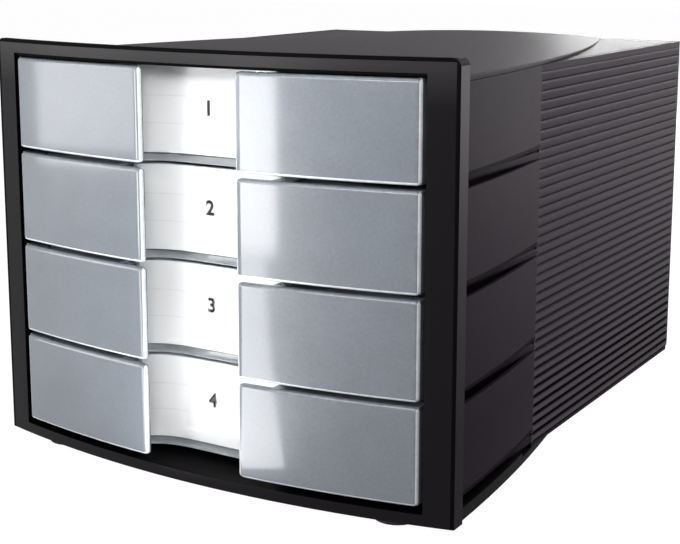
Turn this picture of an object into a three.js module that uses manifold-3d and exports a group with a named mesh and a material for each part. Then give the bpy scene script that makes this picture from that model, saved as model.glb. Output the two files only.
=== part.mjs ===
// Desktop drawer unit: four drawers with frosted fronts in a dark housing behind one bowed frame.
// Millimetres, +Z up. The origin lies on the table under the middle of the unit, and -Y is the front.
import * as THREE from 'three';
import { mergeVertices } from 'three/addons/utils/BufferGeometryUtils.js';
import Module from 'manifold-3d';

const wasm = await Module();
wasm.setup();

// Whole unit
const unit_width = 294;
const unit_depth = 368;
const unit_height = 235;
const drawer_count = 4;

// Clearances
const seat_gap = 0.3;
const overrun = 5;

// Front frame, a thin skin bowed forward, with returns at its sides
const bow_rise = 18;
const frame_skin = 3.4;
const frame_return = 9.3;
const frame_return_wall = 2.4;
const frame_lift = 4;
const frame_corner_radius = 4.5;
const top_rail_height = 7.7;
const bottom_rail_height = 5.9;
const opening_flange = 2;
const bow_steps = 24;
const frame_corner_steps = 5;

// Leaf outline, the arc that the base, the top plate and the flared sides follow
const leaf_setback = 1;
const leaf_narrowing = 66.5;
const leaf_rise = 13.7;
const leaf_steps = 20;

// Body between the ridged sides
const body_inset = 10;
const body_wall_face = 4;
const wall_core = 2.4;
const opening_lip = 1.7;
const plate_drop = 0.8;
const plate_rise = 3;
const plate_rear_step = 0.7;
const plate_tongue = 0.9;
const plate_columns = 8;
const base_lift = 5;
const base_height = 4;
const base_rim = 3;
const base_plate_wall = 2;
const rear_chamfer = 4;

// Ridges and flared panels on the sides
const ridges_per_level = 10;
const ridge_depth = 1.2;
const ridge_points = 4;
const ridge_end = 3;
const plain_band_sink = 0.3;
const rear_edge_sink = 0.8;
const flare_skin = 2;
const flare_floor = 2;
const rib_height = 4.2;
const rib_drop = 1.7;
const flare_steps = 10;

// Shelves, ledges and rear panel
const shelf_thickness = 2;
const shelf_front_gap = 1.2;
const ledge_width = 2.5;
const ledge_height = 2;
const guide_wall = 2;
const guide_height = 6;
const deck_thickness = 1.8;
const rear_panel_wall = 2.5;
const rear_panel_inset = 0.5;

// Feet
const foot_diameter = 24.5;
const foot_bevel = 1;
const foot_front_inset = 37;
const foot_front_gap = 1.3;
const foot_rear_inset = 9.5;
const foot_rear_gap = 13.75;
const boss_margin = 1.5;
const foot_sides = 28;

// Drawer fronts
const wing_gap = 2.5;
const wing_foot_gap = 3.6;
const wing_head_gap = 2.3;
const wing_side_gap = 2.7;
const wing_proud = 0.6;
const wing_wall = 3;
const wing_inner_x = 30;
const wing_root_gap = 2.5;
const wing_edge_radius = 1.4;
const recess_wall = 2.1;
const front_top_wall = 2;
const front_side_wall = 2;
const pocket_gap = 4;
const wing_steps = 10;
const wing_root_steps = 4;
const wing_edge_steps = 3;

// Label zone, a deep curved recess between the wings
const label_half = 47.5;
const label_depth_y = 8.6;
const label_sweep = 10.2;
const label_curve_power = 5.3;
const label_steps = 12;
const label_place_power = 0.6;
const label_foot_gap = 0.5;
const label_lip_height = 4.3;
const label_head_gap = 0.3;
const cover_wall = 1.2;
const card_wall = 0.5;
const lip_depth = 3.2;
const label_end_gap = 0.6;

// Trays
const tray_side_gap = 0.6;
const tray_wall = 2;
const tray_head_gap = 3.7;
const tray_guide_gap = 0.6;
const tray_corner_radius = 6;
const tray_corner_steps = 4;
const tray_rear_gap = 3;

// Stops that keep a pulled drawer from falling out
const drawer_overlap = 70.7;
const stop_tab_inset = 21;
const stop_tab_width = 14;
const stop_tab_height = 2.5;
const stop_clearance = 1.2;
const stop_side_margin = 2;
const stop_block_depth = 4;

// Places worked out from the sizes
const half_width = unit_width / 2;
const front_y = -unit_depth / 2;
const rear_y = unit_depth / 2;
const corner_y = front_y + bow_rise;
const bow_radius = (half_width ** 2 + bow_rise ** 2) / (2 * bow_rise);
const bow_centre_y = front_y + bow_radius;
const frame_back_y = corner_y + frame_return;
const body_half = half_width - body_inset;
const wall_inner_x = body_half - body_wall_face;
const wall_core_x = wall_inner_x + wall_core;
const opening_half = wall_inner_x - opening_lip;
const opening_low = frame_lift + bottom_rail_height;
const opening_top = unit_height - top_rail_height;
const level_pitch = (opening_top - opening_low - wing_foot_gap - wing_head_gap + wing_gap) / drawer_count;
const wing_height = level_pitch - wing_gap;
const wing_half = opening_half - wing_side_gap;
const recess_setback = cover_wall + card_wall + 2 * seat_gap;
const front_back_y = corner_y + label_depth_y + recess_setback + recess_wall;
const shelf_front_y = front_back_y + shelf_front_gap;
const housing_front_y = frame_back_y + seat_gap;
const plate_top = opening_top - plate_drop;
const wall_top = plate_top - plate_rise;
const base_top = base_lift + base_height;
const wall_low = base_top + seat_gap;
const floor_top = shelf_low(drawer_count) - seat_gap;
const shelf_half = wall_inner_x - seat_gap;
const rear_panel_back_y = rear_y - rear_panel_inset;
const rear_panel_front_y = rear_panel_back_y - rear_panel_wall;
const shelf_rear_y = rear_panel_front_y - seat_gap;
const tray_half = wing_half - tray_side_gap;
const tray_front_y = front_back_y + seat_gap;
const tray_rear_y = rear_panel_front_y - tray_rear_gap;
const tongue_low = plate_top - plate_tongue;
const return_inner_x = half_width - frame_return_wall;
const foot_radius = foot_diameter / 2;
const wing_root_x = label_half + wing_root_gap;
const pocket_inner_x = wing_root_x + pocket_gap;
const label_drop = wing_gap - label_foot_gap;
const tray_height = wall_top - deck_thickness - tray_head_gap - shelf_top(1) - seat_gap;
const drawer_travel = tray_rear_y - tray_front_y - drawer_overlap;
const stop_tab_x = tray_half - stop_tab_inset;
const stop_block_rear_y = tray_rear_y - tray_wall - drawer_travel - seat_gap;

// Height of the underside of the wings of the drawer at a level, counted from the top
function level_low(level) {
  return opening_low + wing_foot_gap + (drawer_count - level) * level_pitch;
}

// Heights of the shelf at a level, whose underside lines up with the rib outside
function shelf_low(level) {
  return level_low(level) - rib_drop;
}

function shelf_top(level) {
  return shelf_low(level) + shelf_thickness;
}

// Place on the bow of the front, moved back by an inset
function bow_y(x, inset) {
  return bow_centre_y - Math.sqrt((bow_radius - inset) ** 2 - x ** 2);
}

// Leaf outline as a circle through its two ends
const leaf_front_half = half_width - leaf_setback;
const leaf_rear_half = leaf_front_half - leaf_narrowing;
const leaf_chord_x = -leaf_narrowing;
const leaf_chord_y = rear_y - frame_back_y;
const leaf_chord = Math.hypot(leaf_chord_x, leaf_chord_y);
const leaf_radius = (leaf_chord ** 2 / 4 + leaf_rise ** 2) / (2 * leaf_rise);
const leaf_reach = leaf_radius - leaf_rise;
const leaf_centre_x = leaf_front_half + leaf_chord_x / 2 - leaf_reach * leaf_chord_y / leaf_chord;
const leaf_centre_y = frame_back_y + leaf_chord_y / 2 + leaf_reach * leaf_chord_x / leaf_chord;

function leaf_x(y, inset) {
  return leaf_centre_x + Math.sqrt((leaf_radius - inset) ** 2 - (y - leaf_centre_y) ** 2);
}

function leaf_y(x, inset) {
  return leaf_centre_y + Math.sqrt((leaf_radius - inset) ** 2 - (x - leaf_centre_x) ** 2);
}

const flare_rear_y = leaf_y(body_half, 0);

// Shapes and solids
function manifold_of(geometry) {
  const bare = geometry.clone();
  bare.deleteAttribute('normal');
  bare.deleteAttribute('uv');
  const merged = mergeVertices(bare);
  return new wasm.Manifold(new wasm.Mesh({
    numProp: 3,
    vertProperties: merged.attributes.position.array,
    triVerts: Uint32Array.from(merged.index.array),
  }));
}

function geometry_of(solid) {
  const mesh = solid.getMesh();
  const geometry = new THREE.BufferGeometry();
  geometry.setAttribute('position', new THREE.Float32BufferAttribute(mesh.vertProperties, 3));
  geometry.setIndex(new THREE.Uint32BufferAttribute(mesh.triVerts, 1));
  geometry.computeVertexNormals();
  return geometry;
}

function block(x0, x1, y0, y1, z0, z1) {
  const geometry = new THREE.BoxGeometry(x1 - x0, y1 - y0, z1 - z0);
  geometry.translate((x0 + x1) / 2, (y0 + y1) / 2, (z0 + z1) / 2);
  return manifold_of(geometry);
}

function extruded(points, depth) {
  return new THREE.ExtrudeGeometry(new THREE.Shape(points), { depth, bevelEnabled: false });
}

// A plan outline raised from one height to another
function upright(points, z0, z1) {
  const geometry = extruded(points, z1 - z0);
  geometry.translate(0, 0, z0);
  return manifold_of(geometry);
}

// An outline of x and z run from one y to another
function along_y(points, y0, y1) {
  const geometry = extruded(points, y1 - y0);
  geometry.rotateX(Math.PI / 2);
  geometry.translate(0, y1, 0);
  return manifold_of(geometry);
}

// An outline of y and z run from one x to another
function along_x(points, x0, x1) {
  const geometry = extruded(points, x1 - x0);
  geometry.rotateX(Math.PI / 2);
  geometry.rotateZ(Math.PI / 2);
  geometry.translate(x0, 0, 0);
  return manifold_of(geometry);
}

function point(x, y) {
  return new THREE.Vector2(x, y);
}

// Points of a curve given as a function, at even steps between two values
function run(curve, from, to, steps) {
  const points = [];
  for (let i = 0; i <= steps; i += 1) {
    points.push(curve(from + (to - from) * i / steps));
  }
  return points;
}

// Both halves of an outline that lies wholly on one side of the middle plane
function both_sides(half) {
  const left = half.map((p) => point(-p.x, p.y)).reverse();
  return [...half, ...left];
}

function joined(solids) {
  return solids.reduce((all, next) => all.add(next));
}

// The same solid on the other side of the middle plane
function mirrored(geometry) {
  const copy = geometry.clone();
  copy.scale(-1, 1, 1);
  const index = copy.index.array;
  for (let i = 0; i < index.length; i += 3) {
    [index[i], index[i + 1]] = [index[i + 1], index[i]];
  }
  copy.computeVertexNormals();
  return copy;
}

// Front frame: bowed skin with a rounded top, side returns and flanges beside the opening
function front_frame() {
  const outline = [
    ...run((x) => point(x, bow_y(x, 0)), -half_width, half_width, bow_steps),
    point(half_width, frame_back_y),
    point(-half_width, frame_back_y),
  ];
  const face = new THREE.Shape();
  face.moveTo(-half_width, frame_lift);
  face.lineTo(half_width, frame_lift);
  face.lineTo(half_width, unit_height - frame_corner_radius);
  face.absarc(
    half_width - frame_corner_radius, unit_height - frame_corner_radius,
    frame_corner_radius, 0, Math.PI / 2, false);
  face.lineTo(-half_width + frame_corner_radius, unit_height);
  face.absarc(
    -half_width + frame_corner_radius, unit_height - frame_corner_radius,
    frame_corner_radius, Math.PI / 2, Math.PI, false);
  const face_points = face.getPoints(frame_corner_steps);
  const body = upright(outline, frame_lift, unit_height)
    .intersect(along_y(face_points, front_y - overrun, frame_back_y + overrun));
  const hollow_outline = [
    ...run((x) => point(x, bow_y(x, frame_skin)), -return_inner_x, return_inner_x, bow_steps),
    point(return_inner_x, frame_back_y + overrun),
    point(-return_inner_x, frame_back_y + overrun),
  ];
  const hollow = upright(hollow_outline, frame_lift - overrun, unit_height + overrun);
  const flange_front_y = bow_y(opening_half, frame_skin / 2);
  const flange_low = wall_low;
  const flange_top = tongue_low - seat_gap;
  const flange_outer_x = opening_half + opening_flange;
  const right_flange = block(
    opening_half, flange_outer_x, flange_front_y, frame_back_y, flange_low, flange_top);
  const left_flange = block(
    -flange_outer_x, -opening_half, flange_front_y, frame_back_y, flange_low, flange_top);
  const opening = block(
    -opening_half, opening_half, front_y - overrun, frame_back_y + overrun, opening_low, opening_top);
  return body.subtract(hollow).subtract(opening).add(right_flange).add(left_flange);
}

// Leaf outline with a front that fits behind the frame's skin
function leaf_outline() {
  const tongue_half = return_inner_x - seat_gap;
  const tongue_inset = frame_skin + seat_gap;
  const half = [
    ...run((x) => point(x, bow_y(x, tongue_inset)), 0, tongue_half, bow_steps / 2),
    point(tongue_half, housing_front_y),
    ...run((y) => point(leaf_x(y, 0), y), housing_front_y, rear_y, leaf_steps),
  ];
  return about_middle(half);
}

// Both halves of an outline whose first point lies on the middle plane
function about_middle(half) {
  const left = half.slice(1).map((p) => point(-p.x, p.y)).reverse();
  return [...half, ...left];
}

// Height of the top plate: level across its front, crowned across its rear
function plate_height(share, y) {
  const along = Math.max(0, (y - housing_front_y) / (rear_y - housing_front_y));
  return plate_top - (plate_rise - plate_rear_step) * along * share ** 2;
}

function crowned_slab() {
  const positions = [];
  const index = [];
  const across = plate_columns + 1;
  for (let row = 0; row <= leaf_steps; row += 1) {
    const y = housing_front_y + (rear_y - housing_front_y) * row / leaf_steps;
    for (const top of [true, false]) {
      for (let column = 0; column < across; column += 1) {
        const share = 2 * column / plate_columns - 1;
        const z = top ? plate_height(share, y) : wall_top + seat_gap;
        positions.push(share * leaf_x(y, 0), y, z);
      }
    }
  }
  const at = (row, level, column) => row * 2 * across + level * across + column;
  const quad = (a, b, c, d) => index.push(a, b, c, a, c, d);
  for (let row = 0; row < leaf_steps; row += 1) {
    for (let column = 0; column < plate_columns; column += 1) {
      quad(at(row, 0, column), at(row, 0, column + 1), at(row + 1, 0, column + 1), at(row + 1, 0, column));
      quad(at(row, 1, column), at(row + 1, 1, column), at(row + 1, 1, column + 1), at(row, 1, column + 1));
    }
    quad(at(row, 0, 0), at(row + 1, 0, 0), at(row + 1, 1, 0), at(row, 1, 0));
    const last = plate_columns;
    quad(at(row, 0, last), at(row, 1, last), at(row + 1, 1, last), at(row + 1, 0, last));
  }
  for (let column = 0; column < plate_columns; column += 1) {
    const end = leaf_steps;
    quad(at(0, 0, column), at(0, 1, column), at(0, 1, column + 1), at(0, 0, column + 1));
    quad(at(end, 0, column), at(end, 0, column + 1), at(end, 1, column + 1), at(end, 1, column));
  }
  const geometry = new THREE.BufferGeometry();
  geometry.setAttribute('position', new THREE.Float32BufferAttribute(positions, 3));
  geometry.setIndex(index);
  return manifold_of(geometry);
}

// Top plate: crowned leaf with a thin tongue that reaches the frame over the drawer fronts
function top_plate() {
  const tongue_half = return_inner_x - seat_gap;
  const tongue_inset = frame_skin + seat_gap;
  const tongue_rear_y = shelf_front_y + overrun;
  const tongue_outline = [
    ...run((x) => point(x, bow_y(x, tongue_inset)), -tongue_half, tongue_half, bow_steps),
    point(tongue_half, tongue_rear_y),
    point(-tongue_half, tongue_rear_y),
  ];
  const tongue = upright(tongue_outline, tongue_low, plate_top);
  const relief = block(
    -half_width, half_width, front_y - overrun, shelf_front_y, wall_top - overrun, tongue_low);
  return crowned_slab().subtract(relief).add(tongue);
}

// Stop blocks on an underside, which catch the tabs of the drawer below
function stop_blocks(level, under) {
  const low = shelf_top(level) + seat_gap + tray_height + stop_clearance;
  const front = stop_block_rear_y - stop_block_depth;
  const near = stop_tab_x - stop_tab_width / 2 - stop_side_margin;
  const far = stop_tab_x + stop_tab_width / 2 + stop_side_margin;
  return joined([
    block(near, far, front, stop_block_rear_y, low, under),
    block(-far, -near, front, stop_block_rear_y, low, under),
  ]);
}

// Top deck: flat sheet between the walls, under the top plate
function top_deck() {
  const low = wall_top - deck_thickness;
  const sheet = block(-shelf_half, shelf_half, shelf_front_y, shelf_rear_y, low, wall_top);
  return sheet.add(stop_blocks(1, low + deck_thickness / 2));
}

// Shelf under a drawer, with a guide rib along each edge
function shelf(level) {
  const top = shelf_top(level);
  const low = shelf_low(level);
  const guide_near = tray_half + tray_guide_gap;
  const guide_far = guide_near + guide_wall;
  const guide_low = top - shelf_thickness / 2;
  const guide_top = top + guide_height;
  const solids = [
    block(-shelf_half, shelf_half, shelf_front_y, shelf_rear_y, low, top),
    block(guide_near, guide_far, shelf_front_y, shelf_rear_y, guide_low, guide_top),
    block(-guide_far, -guide_near, shelf_front_y, shelf_rear_y, guide_low, guide_top),
  ];
  if (level < drawer_count) {
    solids.push(stop_blocks(level + 1, low + shelf_thickness / 2));
  }
  return joined(solids);
}

// Outline of the ridged part of a side, in x and z
function ridged_outline() {
  const pitch = level_pitch / ridges_per_level;
  const crest = body_half;
  const valley = crest - ridge_depth;
  const plain = crest - plain_band_sink;
  const first = shelf_low(drawer_count) + (rib_height - pitch) / 2;
  const count = Math.floor((wall_top - first) / pitch);
  const points = [point(wall_inner_x, wall_low), point(plain, wall_low), point(plain, first)];
  for (let ridge = 0; ridge < count; ridge += 1) {
    for (let step = 0; step < ridge_points; step += 1) {
      const share = step / ridge_points;
      const z = first + (ridge + share) * pitch;
      points.push(point(valley + ridge_depth * Math.sin(Math.PI * share), z));
    }
  }
  const last = first + count * pitch;
  points.push(point(valley, last), point(plain, last), point(plain, wall_top));
  points.push(point(wall_inner_x, wall_top));
  return points;
}

// Plan of a flared panel, or of the floor that closes its lower end
function flare_outline(inner) {
  const outer_run = run((y) => point(leaf_x(y, 0), y), housing_front_y, flare_rear_y, flare_steps);
  const inner_run = run((y) => point(inner(y), y), flare_rear_y, housing_front_y, flare_steps);
  return [...outer_run, ...inner_run];
}

// Right side wall: ridged rear part, four flared panels at the front with ribs between them
function side_wall() {
  const core_mid_x = wall_inner_x + wall_core / 2;
  const skin_outline = flare_outline((y) => Math.max(leaf_x(y, flare_skin), core_mid_x));
  const floor_outline = flare_outline(() => core_mid_x);
  const ridge_rear_y = rear_y - ridge_end;
  const solids = [
    block(wall_inner_x, wall_core_x, housing_front_y, rear_y, wall_low, wall_top),
    along_y(ridged_outline(), flare_rear_y - flare_skin, ridge_rear_y),
    block(wall_inner_x, body_half - rear_edge_sink, ridge_rear_y - ridge_end, rear_y, wall_low, wall_top),
  ];
  for (let level = 1; level <= drawer_count; level += 1) {
    const rib_low = shelf_low(level);
    const rib_top = rib_low + rib_height;
    const panel_top = level === 1 ? wall_top : rib_low + level_pitch;
    solids.push(block(core_mid_x, body_half, housing_front_y, flare_rear_y, rib_low, rib_top));
    solids.push(upright(skin_outline, rib_top, panel_top));
    solids.push(upright(floor_outline, rib_top, rib_top + flare_floor));
  }
  const ledge_tops = [wall_top - deck_thickness - seat_gap];
  for (let level = 1; level < drawer_count; level += 1) {
    ledge_tops.push(shelf_low(level) - seat_gap);
  }
  for (const top of ledge_tops) {
    solids.push(block(
      wall_inner_x - ledge_width, core_mid_x, shelf_front_y, shelf_rear_y, top - ledge_height, top));
  }
  const chamfer = along_x([
    point(rear_y - rear_chamfer, wall_low),
    point(rear_y + overrun, wall_low - overrun),
    point(rear_y + overrun, wall_low + rear_chamfer + overrun),
  ], wall_inner_x - ledge_width - overrun, body_half + overrun);
  return joined(solids).subtract(chamfer);
}

// Rear panel between the side walls
function rear_panel() {
  return block(
    -shelf_half, shelf_half, rear_panel_front_y, rear_panel_back_y, floor_top + seat_gap, wall_top);
}

// Places of the feet, in x and y
const foot_front_x = half_width - foot_front_inset;
const foot_front_y = bow_y(foot_front_x, frame_skin) + foot_radius + foot_front_gap;
const foot_rear_x = leaf_rear_half - foot_rear_inset;
const foot_rear_y = rear_y - foot_radius - foot_rear_gap;
const foot_places = {
  foot_front_right: point(foot_front_x, foot_front_y),
  foot_front_left: point(-foot_front_x, foot_front_y),
  foot_rear_right: point(foot_rear_x, foot_rear_y),
  foot_rear_left: point(-foot_rear_x, foot_rear_y),
};

// Base plate: hollow leaf plinth, raised floor between the walls and low skirts under the flared sides
function base_plate() {
  const plinth = upright(leaf_outline(), base_lift, base_top);
  const floor = block(
    -shelf_half, shelf_half, shelf_front_y, shelf_rear_y, base_top - base_plate_wall, floor_top);
  const skirt_rear_y = leaf_y(body_half + seat_gap, flare_skin);
  const skirt_outline = [
    ...run((y) => point(leaf_x(y, 0), y), housing_front_y, skirt_rear_y, flare_steps),
    ...run((y) => point(leaf_x(y, flare_skin), y), skirt_rear_y, housing_front_y, flare_steps),
  ];
  const skirt_low = base_top - base_plate_wall / 2;
  const right_skirt = upright(skirt_outline, skirt_low, floor_top);
  const left_skirt = upright(skirt_outline.map((p) => point(-p.x, p.y)).reverse(), skirt_low, floor_top);
  const cavity_front_inset = frame_skin + seat_gap + base_rim;
  const cavity_front_half = return_inner_x - seat_gap - base_rim;
  const cavity = upright(about_middle([
    ...run((x) => point(x, bow_y(x, cavity_front_inset)), 0, cavity_front_half, bow_steps / 2),
    ...run((y) => point(leaf_x(y, base_rim), y), housing_front_y, rear_y - base_rim, leaf_steps),
  ]), base_lift - overrun, base_top - base_plate_wall);
  const floor_cavity_half = shelf_half - base_rim;
  const floor_cavity = block(
    -floor_cavity_half, floor_cavity_half, shelf_front_y + base_rim, shelf_rear_y - base_rim,
    base_lift - overrun, floor_top - base_plate_wall)
    .intersect(upright(both_sides(
      run((y) => point(leaf_x(y, base_rim), y), shelf_front_y, rear_y, leaf_steps)),
    base_lift - overrun, floor_top));
  const bosses = Object.entries(foot_places).map(([name, place]) => {
    const top = name.startsWith('foot_front') ? base_top : floor_top - base_plate_wall / 2;
    const geometry = new THREE.CylinderGeometry(
      foot_radius + boss_margin, foot_radius + boss_margin, top - base_lift, foot_sides);
    geometry.rotateX(Math.PI / 2);
    geometry.translate(place.x, place.y, (top + base_lift) / 2);
    return manifold_of(geometry);
  });
  return joined([plinth, floor, right_skirt, left_skirt])
    .subtract(cavity)
    .subtract(floor_cavity)
    .add(joined(bosses).intersect(upright(leaf_outline(), base_lift, floor_top)));
}

// Round rubber foot
function foot() {
  const top = base_lift - seat_gap;
  const profile = [
    point(0, 0),
    point(foot_radius - foot_bevel, 0),
    point(foot_radius, foot_bevel),
    point(foot_radius, top),
    point(0, top),
  ];
  const geometry = new THREE.LatheGeometry(profile, foot_sides);
  geometry.rotateX(Math.PI / 2);
  return manifold_of(geometry);
}

// Plan curve of the label, flat in the middle and sweeping forward at its ends
function label_y(x, setback) {
  const share = Math.abs(x) / label_half;
  return corner_y + label_depth_y + setback - label_sweep * share ** label_curve_power;
}

// Places across the label, closer together where the curve bends
function label_places(half, steps) {
  const places = [];
  for (let i = -steps; i <= steps; i += 1) {
    const share = i / steps;
    places.push(half * Math.sign(share) * Math.abs(share) ** label_place_power);
  }
  return places;
}

// A curved strip that follows the label, between two setbacks and two heights
function label_strip(half, near, far, z0, z1) {
  const places = label_places(half, label_steps / 2);
  const outline = [
    ...places.map((x) => point(x, label_y(x, near))),
    ...places.map((x) => point(x, label_y(x, far))).reverse(),
  ];
  return upright(outline, z0, z1);
}

// Drawer front: two wings on the bow, joined by the recessed wall behind the label
function drawer_front(level) {
  const low = level_low(level);
  const top = low + wing_height;
  const recess_half = label_half + label_end_gap;
  const edge_x = wing_inner_x + wing_edge_radius;
  const edge_mid_y = bow_y(edge_x, wing_edge_radius - wing_proud);
  const back_y = (x) => bow_y(x, wing_wall - wing_proud);
  const face_y = (x) => bow_y(x, -wing_proud);
  const outer_x = wing_half - wing_edge_radius;
  const outer_mid_y = face_y(outer_x) + wing_edge_radius;
  const half = [
    ...label_places(label_half, label_steps / 2).filter((x) => x >= 0)
      .map((x) => point(x, label_y(x, recess_setback))),
    point(recess_half, label_y(label_half, recess_setback)),
    ...run((x) => point(x, back_y(x)), wing_root_x, edge_x, wing_root_steps),
    ...run((angle) => point(
      edge_x - wing_edge_radius * Math.cos(angle),
      edge_mid_y - wing_edge_radius * Math.sin(angle)), -Math.PI / 6, Math.PI / 3, wing_edge_steps),
    ...run((x) => point(x, face_y(x)), edge_x, outer_x, wing_steps),
    ...run((angle) => point(
      outer_x + wing_edge_radius * Math.sin(angle),
      outer_mid_y - wing_edge_radius * Math.cos(angle)), Math.PI / 6, Math.PI / 2, wing_edge_steps),
    point(wing_half, front_back_y),
  ];
  const pocket_outer_x = wing_half - front_side_wall;
  const pocket_outline = [
    ...run((x) => point(x, back_y(x)), pocket_inner_x, pocket_outer_x, wing_steps / 2),
    point(pocket_outer_x, front_back_y + overrun),
    point(pocket_inner_x, front_back_y + overrun),
  ];
  const pocket = upright(pocket_outline, low - overrun, top - front_top_wall);
  const other_pocket = upright(
    pocket_outline.map((p) => point(-p.x, p.y)).reverse(), low - overrun, top - front_top_wall);
  const lip_cut = block(
    -recess_half, recess_half, back_y(wing_root_x) + wing_edge_radius, front_back_y + overrun,
    low - overrun, low - label_drop + label_lip_height + seat_gap);
  return upright(about_middle(half), low, top)
    .subtract(pocket)
    .subtract(other_pocket)
    .subtract(lip_cut);
}

// Clear cover in front of the label, with a thick lip along its lower edge
function label_cover(level) {
  const low = level_low(level) - label_drop;
  const top = level_low(level) + wing_height - label_head_gap;
  return joined([
    label_strip(label_half, 0, cover_wall, low, top),
    label_strip(label_half, 0, lip_depth, low, low + label_lip_height),
  ]);
}

// Label card behind its clear cover
function label_card(level) {
  const low = level_low(level) - label_drop + label_lip_height + seat_gap;
  const top = level_low(level) + wing_height - 2 * label_head_gap;
  const near = cover_wall + seat_gap;
  return label_strip(label_half - seat_gap, near, near + card_wall, low, top);
}

// Rectangle with rounded corners, in plan
function rounded_rectangle(half_x, y0, y1, radius) {
  const corners = [
    point(half_x - radius, y0 + radius),
    point(half_x - radius, y1 - radius),
    point(-half_x + radius, y1 - radius),
    point(-half_x + radius, y0 + radius),
  ];
  return corners.flatMap((centre, i) => run((angle) => point(
    centre.x + radius * Math.cos(angle),
    centre.y + radius * Math.sin(angle),
  ), (i - 1) * Math.PI / 2, i * Math.PI / 2, tray_corner_steps));
}

// Open tray with a stop tab on each side of its rear wall
function tray(level) {
  const low = shelf_top(level) + seat_gap;
  const top = low + tray_height;
  const outer = upright(
    rounded_rectangle(tray_half, tray_front_y, tray_rear_y, tray_corner_radius), low, top);
  const inner = upright(
    rounded_rectangle(
      tray_half - tray_wall, tray_front_y + tray_wall, tray_rear_y - tray_wall,
      tray_corner_radius - tray_wall),
    low + tray_wall, top + overrun);
  const near = stop_tab_x - stop_tab_width / 2;
  const far = stop_tab_x + stop_tab_width / 2;
  const tab_low = top - tray_wall;
  const tab_top = top + stop_tab_height;
  return outer.subtract(inner)
    .add(block(near, far, tray_rear_y - tray_wall, tray_rear_y, tab_low, tab_top))
    .add(block(-far, -near, tray_rear_y - tray_wall, tray_rear_y, tab_low, tab_top));
}

// Finishes
const finishes = {
  housing: new THREE.MeshStandardMaterial({ color: 0x3f3b40, roughness: 0.5, metalness: 0 }),
  frosted: new THREE.MeshStandardMaterial({ color: 0xb4bcc6, roughness: 0.35, metalness: 0 }),
  clear: new THREE.MeshStandardMaterial({ color: 0xdde2e6, roughness: 0.1, metalness: 0 }),
  card: new THREE.MeshStandardMaterial({ color: 0xf4f4f2, roughness: 0.8, metalness: 0 }),
  tray: new THREE.MeshStandardMaterial({ color: 0xc2c8ce, roughness: 0.4, metalness: 0 }),
  rubber: new THREE.MeshStandardMaterial({ color: 0x18181a, roughness: 0.9, metalness: 0 }),
};

function named(name, geometry, finish) {
  const mesh = new THREE.Mesh(geometry, finishes[finish]);
  mesh.name = name;
  return mesh;
}

// Assembly
const unit = new THREE.Group();

unit.add(named('front_frame', geometry_of(front_frame()), 'housing'));
unit.add(named('top_plate', geometry_of(top_plate()), 'housing'));
unit.add(named('top_deck', geometry_of(top_deck()), 'housing'));
const right_wall = geometry_of(side_wall());
unit.add(named('side_wall_right', right_wall, 'housing'));
unit.add(named('side_wall_left', mirrored(right_wall), 'housing'));
unit.add(named('rear_panel', geometry_of(rear_panel()), 'housing'));
unit.add(named('base_plate', geometry_of(base_plate()), 'housing'));
for (const [name, place] of Object.entries(foot_places)) {
  const mesh = named(name, geometry_of(foot()), 'rubber');
  mesh.position.set(place.x, place.y, 0);
  unit.add(mesh);
}
for (let level = 1; level <= drawer_count; level += 1) {
  const drawer = new THREE.Group();
  unit.add(named(`shelf_${level}`, geometry_of(shelf(level)), 'housing'));
  drawer.add(named(`drawer_${level}_tray`, geometry_of(tray(level)), 'tray'));
  drawer.add(named(`drawer_${level}_front`, geometry_of(drawer_front(level)), 'frosted'));
  drawer.add(named(`drawer_${level}_label_card`, geometry_of(label_card(level)), 'card'));
  drawer.add(named(`drawer_${level}_label_cover`, geometry_of(label_cover(level)), 'clear'));
  unit.add(drawer);
}

export default unit;
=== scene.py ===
"""Dresses a desktop drawer unit: four frosted drawer fronts in a dark moulded housing."""

import math

import bmesh
import bpy
from bpy.props import FloatProperty, FloatVectorProperty, IntProperty, PointerProperty
from mathutils import Matrix, Vector


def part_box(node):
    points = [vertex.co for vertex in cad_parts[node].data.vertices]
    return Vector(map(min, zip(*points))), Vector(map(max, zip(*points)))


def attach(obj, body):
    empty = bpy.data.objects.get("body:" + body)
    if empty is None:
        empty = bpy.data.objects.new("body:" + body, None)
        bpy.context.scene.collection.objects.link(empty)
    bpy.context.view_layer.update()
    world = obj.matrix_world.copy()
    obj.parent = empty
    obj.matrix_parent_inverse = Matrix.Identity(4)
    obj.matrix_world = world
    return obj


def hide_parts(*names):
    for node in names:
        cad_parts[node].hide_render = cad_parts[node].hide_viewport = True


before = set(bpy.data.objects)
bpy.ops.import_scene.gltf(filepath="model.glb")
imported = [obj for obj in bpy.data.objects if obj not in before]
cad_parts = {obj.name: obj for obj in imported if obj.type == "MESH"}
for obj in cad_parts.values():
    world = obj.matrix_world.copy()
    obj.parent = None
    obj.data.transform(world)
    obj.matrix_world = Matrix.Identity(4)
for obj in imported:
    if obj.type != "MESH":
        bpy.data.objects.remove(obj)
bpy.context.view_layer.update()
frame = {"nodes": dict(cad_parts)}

bl_info = {
    "name": "Desktop drawer unit",
    "version": (1, 0, 0),
    "blender": (4, 5, 0),
    "location": "View3D > Sidebar > Drawer Unit",
    "description": "Builds the frosted fronts, ridged sides and studio of a desktop drawer unit",
    "category": "Object",
}

MM = 0.001
SIDES = {"right": 1, "left": -1}
LEVELS = (1, 2, 3, 4)
SMOOTH_ANGLE = math.radians(35)


# Colours and material tools

def linear(code):
    """Linear RGBA of an sRGB hex colour."""
    channels = [int(code[i:i + 2], 16) / 255 for i in (1, 3, 5)]
    return (*(c / 12.92 if c <= 0.04045 else ((c + 0.055) / 1.055) ** 2.4 for c in channels), 1.0)


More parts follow.
